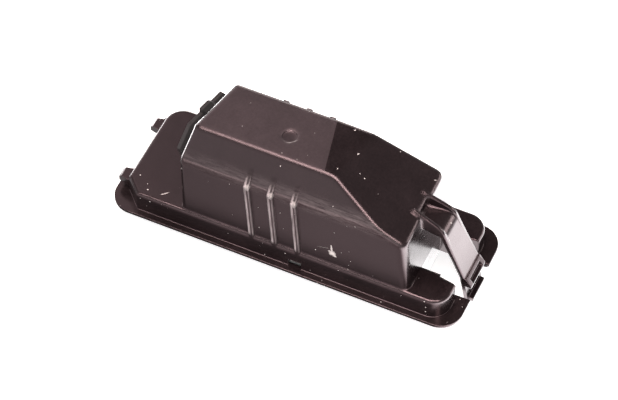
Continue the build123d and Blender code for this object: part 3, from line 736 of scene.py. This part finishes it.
class LAMP_OT_wind_filament(bpy.types.Operator):
    """Wind the tungsten coil between the leads"""

    bl_idname = "lamp.wind_filament"
    bl_label = "Wind Filament"

    def execute(self, context):
        """Wind the coil with Geometry Nodes where the CAD filament is."""
        coil = context.scene.lamp_filament
        low, high = (Vector(corner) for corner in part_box("bulb_filament"))
        radius = (high.x - low.x) / 2 - coil.wire_radius
        length = high.z - low.z - 2 * coil.wire_radius
        middle = (low + high) / 2

        # Drawn tungsten: matt grey, darker where the end turns have burnt
        material, tree, place = start_material("drawn_tungsten")
        axes = add_node(tree, "ShaderNodeSeparateXYZ", [place])
        end = add_node(tree, "ShaderNodeMath", [
            axes.outputs["Z"], middle.z / MM], operation="SUBTRACT")
        away = add_node(tree, "ShaderNodeMath", [end], operation="ABSOLUTE")
        burn = add_node(tree, "ShaderNodeMapRange", {
            "Value": away, "From Min": 1.2, "From Max": length / 2 / MM})
        mottle = add_node(tree, "ShaderNodeTexNoise", {
            "Vector": place, "Scale": TUNGSTEN_CELLS, "Detail": 3.0})
        tint = add_node(tree, "ShaderNodeMix", {
            FACTOR: burn, COLOUR_A: coil.tungsten, COLOUR_B: coil.burnt}, data_type="RGBA")
        gloss = add_node(tree, "ShaderNodeMapRange", {
            "Value": mottle, **NOISE_SPAN, "To Min": 0.3, "To Max": 0.5})
        shader = add_node(tree, "ShaderNodeBsdfPrincipled", {
            "Base Color": tint, "Metallic": 1.0, "Roughness": gloss})
        add_node(tree, "ShaderNodeOutputMaterial", {"Surface": shader})

        group = bpy.data.node_groups.new("filament_coil", "GeometryNodeTree")
        sockets = {}
        for name, kind, value in (
                ("Turns", "NodeSocketFloat", coil.turns),
                ("Turn Points", "NodeSocketInt", coil.turn_points),
                ("Coil Radius", "NodeSocketFloat", radius),
                ("Coil Length", "NodeSocketFloat", length),
                ("Wire Radius", "NodeSocketFloat", coil.wire_radius),
                ("Wire Points", "NodeSocketInt", coil.wire_points),
                ("Foot", "NodeSocketVector", (middle.x, middle.y, low.z + coil.wire_radius))):
            socket = group.interface.new_socket(name, in_out="INPUT", socket_type=kind)
            sockets[socket.identifier] = value
        group.interface.new_socket("Coil", in_out="OUTPUT", socket_type="NodeSocketGeometry")
        given = add_node(group, "NodeGroupInput")
        path = add_node(group, "GeometryNodeCurveSpiral", {
            "Resolution": given.outputs["Turn Points"], "Rotations": given.outputs["Turns"],
            "Start Radius": given.outputs["Coil Radius"],
            "End Radius": given.outputs["Coil Radius"], "Height": given.outputs["Coil Length"]})
        wire = add_node(group, "GeometryNodeCurvePrimitiveCircle", {
            "Resolution": given.outputs["Wire Points"], "Radius": given.outputs["Wire Radius"]})
        tube = add_node(group, "GeometryNodeCurveToMesh", {
            "Curve": path, "Profile Curve": wire, "Fill Caps": True})
        smooth = add_node(group, "GeometryNodeSetShadeSmooth", {"Geometry": tube})
        placed = add_node(group, "GeometryNodeTransform", {
            "Geometry": smooth, "Translation": given.outputs["Foot"]})
        real = add_node(group, "GeometryNodeRealizeInstances", {"Geometry": placed})
        painted = add_node(group, "GeometryNodeSetMaterial", {
            "Geometry": real, "Material": material})
        add_node(group, "NodeGroupOutput", [painted])

        # The coil is kept as a plain mesh, so the winding is applied
        piece = bpy.data.objects.new("filament_coil", bpy.data.meshes.new("filament_coil"))
        context.scene.collection.objects.link(piece)
        winding = piece.modifiers.new("winding", "NODES")
        winding.node_group = group
        for identifier, value in sockets.items():
            winding[identifier] = value
        piece.update_tag()
        graph = context.evaluated_depsgraph_get()
        mesh = bpy.data.meshes.new_from_object(piece.evaluated_get(graph))
        piece.modifiers.remove(winding)
        piece.data = mesh
        if not mesh.polygons:
            raise RuntimeError("the filament has no turns")
        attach(piece, "root")
        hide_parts("bulb_filament")
        return {"FINISHED"}


class LAMP_OT_build_studio(bpy.types.Operator):
    """Set the table, the soft boxes and the camera"""

    bl_idname = "lamp.build_studio"
    bl_label = "Build Studio"

    def execute(self, context):
        """Make the stage and the photograph's camera."""
        studio = context.scene.lamp_studio
        scene = context.scene
        scene.view_settings.view_transform = "Standard"

        # White table: plain white to the eye with the lamp's soft shadow. Its mirror image in the
        # glossy plastic is dark close to the near side, pale further out in front, and has two
        # bright pools, past the right end and far on the left
        table_white, tree, place = start_material("table_white")
        ray = add_node(tree, "ShaderNodeLightPath")
        axes = add_node(tree, "ShaderNodeSeparateXYZ", [place])

        # Through the clear parts the table is white only where the lamp does not stand on it; under
        # the lamp it stays dark, a painted shadow
        outward = add_node(tree, "ShaderNodeVectorMath", [place], operation="ABSOLUTE")
        beyond = add_node(tree, "ShaderNodeVectorMath", [
            outward, (CAD_BOX[1][0] / MM, CAD_BOX[1][1] / MM, 0)], operation="SUBTRACT")
        clear_of = add_node(tree, "ShaderNodeSeparateXYZ", [beyond])
        gap = add_node(tree, "ShaderNodeMath", [
            clear_of.outputs["X"], clear_of.outputs["Y"]], operation="MAXIMUM")
        open_table = add_node(tree, "ShaderNodeMapRange", {
            "Value": gap, "From Min": -2.0, "From Max": 6.0})
        through = add_node(tree, "ShaderNodeMath", [
            ray.outputs["Is Transmission Ray"], open_table], operation="MULTIPLY")
        seen = add_node(tree, "ShaderNodeMath", [
            ray.outputs["Is Camera Ray"], through], operation="MAXIMUM")

        # The mirror image in front, a little dimmer to the left
        shaded = add_node(tree, "ShaderNodeMapRange", {
            "Value": axes.outputs["Y"], "From Min": -18.0, "From Max": -23.0, "To Min": 0.05,
            "To Max": 0.84}, interpolation_type="SMOOTHSTEP")
        leftward = add_node(tree, "ShaderNodeMapRange", {
            "Value": axes.outputs["X"], "From Min": -45.0, "From Max": 5.0, "To Min": 0.7})
        front = add_node(tree, "ShaderNodeMath", [shaded, leftward], operation="MULTIPLY")

        # The mirror image behind and beside, with its two pools
        pools = []
        for centre, half_sizes, (start, full), (dim, bright) in TABLE_POOLS:
            centred = add_node(tree, "ShaderNodeMapping", {
                "Vector": place, "Location": centre, "Scale": half_sizes}, vector_type="TEXTURE")
            away = add_node(tree, "ShaderNodeVectorMath", [centred], operation="LENGTH")
            pools.append(add_node(tree, "ShaderNodeMapRange", {
                "Value": away, "From Min": start, "From Max": full,
                "To Min": dim, "To Max": bright}, interpolation_type="SMOOTHSTEP"))
        right_pool, left_pool = pools
        near_end = add_node(tree, "ShaderNodeVectorMath", [place, END_SHADE], operation="DISTANCE")
        own_shade = add_node(tree, "ShaderNodeMapRange", {
            "Value": near_end, "From Min": END_SHADE_REACH[0], "From Max": END_SHADE_REACH[1],
            "To Min": END_SHADE_LEVEL})
        right_side = add_node(tree, "ShaderNodeMath", [right_pool, own_shade], operation="MULTIPLY")
        both_pools = add_node(tree, "ShaderNodeMath", [right_side, left_pool], operation="MAXIMUM")
        behind = add_node(tree, "ShaderNodeMapRange", {
            "Value": axes.outputs["Y"], "From Min": -15.0, "From Max": -12.0})
        beside = add_node(tree, "ShaderNodeMapRange", {
            "Value": axes.outputs["X"], "From Min": 38.0, "From Max": 46.0})
        lit = add_node(tree, "ShaderNodeMath", [behind, beside], operation="MAXIMUM")
        mirrored = add_node(tree, "ShaderNodeMix", {
            FACTOR: lit, VALUE_A: front, VALUE_B: both_pools}, data_type="FLOAT")
        warmth = add_node(tree, "ShaderNodeMix", {
            FACTOR: lit, COLOUR_A: linear("#ffeaed"), COLOUR_B: linear("#ffffff")},
            data_type="RGBA")
        image = add_node(tree, "ShaderNodeEmission", {"Color": warmth, "Strength": mirrored})
        mirror = add_node(tree, "ShaderNodeMath", [
            ray.outputs["Is Glossy Ray"], ray.outputs["Is Transmission Ray"]], operation="SUBTRACT",
            use_clamp=True)

        # White on its upper side, nothing from below
        plain = add_node(tree, "ShaderNodeMath", [seen, TABLE_GLOW], operation="MULTIPLY")
        glow = add_node(tree, "ShaderNodeEmission", {"Strength": plain})
        chalk = add_node(tree, "ShaderNodeBsdfDiffuse", {"Color": linear("#e8e6e5")})
        both = add_node(tree, "ShaderNodeAddShader", [glow, chalk])
        upper = add_node(tree, "ShaderNodeMixShader", [mirror, both, image])
        clear = add_node(tree, "ShaderNodeBsdfTransparent")
        side = add_node(tree, "ShaderNodeNewGeometry")
        table_skin = add_node(tree, "ShaderNodeMixShader", [
            side.outputs["Backfacing"], upper, clear])
        add_node(tree, "ShaderNodeOutputMaterial", {"Surface": table_skin})
        mesh = bpy.data.meshes.new("table")
        form = bmesh.new()
        half = studio.floor_size / 2
        form.faces.new([form.verts.new((x * half, y * half, -TABLE_DROP * MM))
                        for x, y in ((-1, -1), (1, -1), (1, 1), (-1, 1))])
        form.to_mesh(mesh)
        form.free()
        mesh.materials.append(table_white)
        table = bpy.data.objects.new("table", mesh)
        scene.collection.objects.link(table)
        table.visible_diffuse = False
        table.visible_shadow = False

        # Studio round the table: white to the eye. To the plastic it is pale in front, dim
        # overhead and behind, and a little lighter on the right
        world = bpy.data.worlds.new("studio")
        world.use_nodes = True
        tree = world.node_tree
        tree.nodes.clear()
        ray = add_node(tree, "ShaderNodeLightPath")
        seen = add_node(tree, "ShaderNodeMath", [
            ray.outputs["Is Camera Ray"], ray.outputs["Is Transmission Ray"]], operation="MAXIMUM")
        toward = add_node(tree, "ShaderNodeTexCoord")
        front = add_node(tree, "ShaderNodeVectorMath", [
            toward.outputs["Generated"], FRONT_WAY], operation="DOT_PRODUCT")
        pale = add_node(tree, "ShaderNodeMapRange", {
            "Value": front, "From Min": -0.1, "From Max": 0.8, "To Min": BACK_GLOW,
            "To Max": FRONT_GLOW}, interpolation_type="SMOOTHSTEP")
        right = add_node(tree, "ShaderNodeVectorMath", [
            toward.outputs["Generated"], RIGHT_WAY], operation="DOT_PRODUCT")
        dusk = add_node(tree, "ShaderNodeMapRange", {
            "Value": right, "From Min": -0.1, "From Max": 0.5, "To Max": RIGHT_GLOW},
            interpolation_type="SMOOTHSTEP")
        axes = add_node(tree, "ShaderNodeSeparateXYZ", [toward.outputs["Generated"]])
        ceiling = add_node(tree, "ShaderNodeMapRange", {
            "Value": axes.outputs["Z"], "From Min": 0.45, "From Max": 0.75, "To Min": 1.0,
            "To Max": OVERHEAD_SHARE})
        low_pale = add_node(tree, "ShaderNodeMath", [pale, ceiling], operation="MULTIPLY")
        ring = add_node(tree, "ShaderNodeMath", [low_pale, dusk])
        under = add_node(tree, "ShaderNodeMapRange", {
            "Value": axes.outputs["Z"], "From Min": 0.0, "From Max": -0.1})
        around = add_node(tree, "ShaderNodeMix", {
            FACTOR: under, VALUE_A: ring, VALUE_B: UNDER_GLOW}, data_type="FLOAT")
        level = add_node(tree, "ShaderNodeMix", {
            FACTOR: seen, VALUE_A: around, VALUE_B: 1.0}, data_type="FLOAT")
        sky = add_node(tree, "ShaderNodeBackground", {"Strength": level})
        add_node(tree, "ShaderNodeOutputWorld", {"Surface": sky})
        scene.world = world

        for name, direction, distance, width, height, radiance, colour in SOFT_BOXES:
            lamp = bpy.data.lights.new(name, "AREA")
            lamp.shape = "RECTANGLE"
            lamp.size = width
            lamp.size_y = height
            lamp.energy = radiance * math.pi * width * height
            lamp.color = linear(colour)[:3]
            box = bpy.data.objects.new(name, lamp)
            aim = Vector(direction).normalized()
            box.location = aim * distance
            box.rotation_euler = aim.to_track_quat("Z", "Y").to_euler()
            box.visible_camera = False
            scene.collection.objects.link(box)

        # Camera where the photograph was taken
        level_share = math.cos(studio.elevation)
        back = Vector((math.sin(studio.azimuth) * level_share,
                       -math.cos(studio.azimuth) * level_share, math.sin(studio.elevation)))
        view = bpy.data.cameras.new("photo_camera")
        view.sensor_width = SENSOR_WIDTH
        view.lens = studio.focal
        view.shift_x, view.shift_y = LENS_SHIFT
        view.clip_start = 0.01
        camera = bpy.data.objects.new("photo_camera", view)
        camera.location = Vector((0, 0, studio.aim_height)) + back * studio.distance
        camera.rotation_euler = back.to_track_quat("Z", "Y").to_euler()
        scene.collection.objects.link(camera)
        scene.camera = camera
        return {"FINISHED"}


class LAMP_PT_sidebar(bpy.types.Panel):
    """The lamp's steps in the sidebar"""

    bl_idname = "LAMP_PT_sidebar"
    bl_label = "Number Plate Lamp"
    bl_space_type = "VIEW_3D"
    bl_region_type = "UI"
    bl_category = "Lamp"

    def draw(self, context):
        """List every step."""
        for step in STEPS:
            self.layout.operator(step.bl_idname)


STEPS = (LAMP_OT_finish_housing, LAMP_OT_finish_lens, LAMP_OT_finish_holder,
         LAMP_OT_finish_metal, LAMP_OT_finish_glass, LAMP_OT_wind_filament, LAMP_OT_build_studio)
GROUPS = {"lamp_housing": HousingFinish, "lamp_clear": ClearFinish, "lamp_holder": HolderFinish,
          "lamp_metal": MetalFinish, "lamp_filament": FilamentCoil, "lamp_studio": StudioSettings}


def register():
    """Register the settings, the steps and the panel."""
    for name, group in GROUPS.items():
        bpy.utils.register_class(group)
        setattr(bpy.types.Scene, name, bpy.props.PointerProperty(type=group))
    for cls in STEPS + (LAMP_PT_sidebar,):
        bpy.utils.register_class(cls)


def unregister():
    """Take everything out again."""
    for cls in reversed(STEPS + (LAMP_PT_sidebar,)):
        bpy.utils.unregister_class(cls)
    for name, group in GROUPS.items():
        delattr(bpy.types.Scene, name)
        bpy.utils.unregister_class(group)


def main():
    """Run every step in order."""
    register()
    bpy.ops.lamp.finish_housing()
    bpy.ops.lamp.finish_lens()
    bpy.ops.lamp.finish_holder()
    bpy.ops.lamp.finish_metal()
    bpy.ops.lamp.finish_glass()
    bpy.ops.lamp.wind_filament()
    bpy.ops.lamp.build_studio()


if __name__ == "__main__":
    main()
